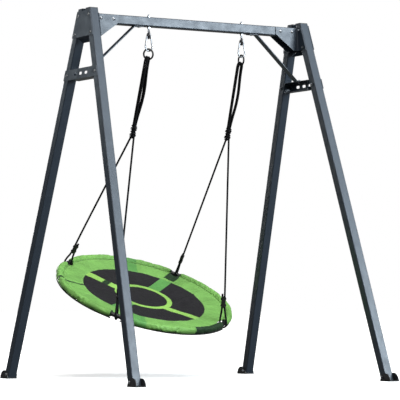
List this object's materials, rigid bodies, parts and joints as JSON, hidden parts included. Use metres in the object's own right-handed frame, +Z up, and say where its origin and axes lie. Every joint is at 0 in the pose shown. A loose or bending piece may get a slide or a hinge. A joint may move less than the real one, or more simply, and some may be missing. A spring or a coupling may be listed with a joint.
{
  "type": "swing set",
  "caption": "Free-standing A-frame swing set with a steel beam and a round padded saucer seat hung on ropes from snap hooks.",
  "frame": {"origin": "on the ground, at the middle of the four feet's anchor holes", "axes": "+X along the beam, -Y the front that the seat swings forward to, +Z up"},
  "size_m": [1.628, 1.898, 2],
  "materials": {
    "frame_paint": "satin graphite powder coat",
    "black_plastic": "matte moulded",
    "zinc": "bright zinc plated",
    "black_nylon": "satin nylon",
    "polished_steel": "polished",
    "black_ring": "black coated",
    "rope": "braided polyester",
    "seat_steel": "black coated",
    "rim_fabric": "woven polyester over foam",
    "deck_fabric": "coated woven polyester"
  },
  "bodies": {
    "frame": {"beam": "frame_paint", "beam_bolts": "zinc", "beam_end_caps": "black_plastic", "beam_nuts": "zinc", "brace_bolts": "zinc", "brace_left": "frame_paint", "brace_nuts": "zinc", "brace_right": "frame_paint", "corner_bracket_front_left": "frame_paint", "corner_bracket_front_right": "frame_paint", "corner_bracket_rear_left": "frame_paint", "corner_bracket_rear_right": "frame_paint", "crossbar_bolts": "zinc", "crossbar_left": "frame_paint", "crossbar_nuts": "zinc", "crossbar_right": "frame_paint", "eye_bolt_left": "zinc", "eye_bolt_nuts": "zinc", "eye_bolt_right": "zinc", "eye_bolt_washers": "zinc", "eye_bush_left": "black_nylon", "eye_bush_right": "black_nylon", "foot_bolts": "zinc", "foot_nuts": "zinc", "foot_shoe_front_left": "black_plastic", "foot_shoe_front_right": "black_plastic", "foot_shoe_rear_left": "black_plastic", "foot_shoe_rear_right": "black_plastic", "gate_pins": "zinc", "leg_front_left": "frame_paint", "leg_front_right": "frame_paint", "leg_rear_left": "frame_paint", "leg_rear_right": "frame_paint", "leg_top_caps": "black_plastic", "outer_plate_left": "frame_paint", "outer_plate_right": "frame_paint", "plate_bolts": "zinc", "plate_nuts": "zinc", "snap_hook_left": "polished_steel", "snap_hook_right": "polished_steel"},
    "gate_left": {"hook_gate_left": "polished_steel"},
    "gate_right": {"hook_gate_right": "polished_steel"},
    "seat": {"rope_buckle_front_left": "black_nylon", "rope_buckle_front_right": "black_nylon", "rope_buckle_rear_left": "black_nylon", "rope_buckle_rear_right": "black_nylon", "rope_front_left": "rope", "rope_front_right": "rope", "rope_knot_left": "rope", "rope_knot_right": "rope", "rope_rear_left": "rope", "rope_rear_right": "rope", "seat_deck": "deck_fabric", "seat_rim_pads": "rim_fabric", "seat_ring_connectors": "seat_steel", "seat_ring_tubes": "seat_steel", "steel_ring_left": "black_ring", "steel_ring_right": "black_ring"}
  },
  "joints": [
    {"name": "seat_swing", "type": "hinge", "parent": "frame", "child": "seat", "pos_m": [0, 0, 1.792], "axis": [1, 0, 0], "range_deg": [-72, 20]},
    {"name": "left_gate_hinge", "type": "hinge", "parent": "frame", "child": "gate_left", "pos_m": [-0.28437, 0, 1.86014], "axis": [0, 1, 0], "range_deg": [0, 20], "stiffness_Nm_per_rad": 0.02},
    {"name": "right_gate_hinge", "type": "hinge", "parent": "frame", "child": "gate_right", "pos_m": [0.31163, 0, 1.86014], "axis": [0, 1, 0], "range_deg": [0, 20], "stiffness_Nm_per_rad": 0.02}
  ]
}
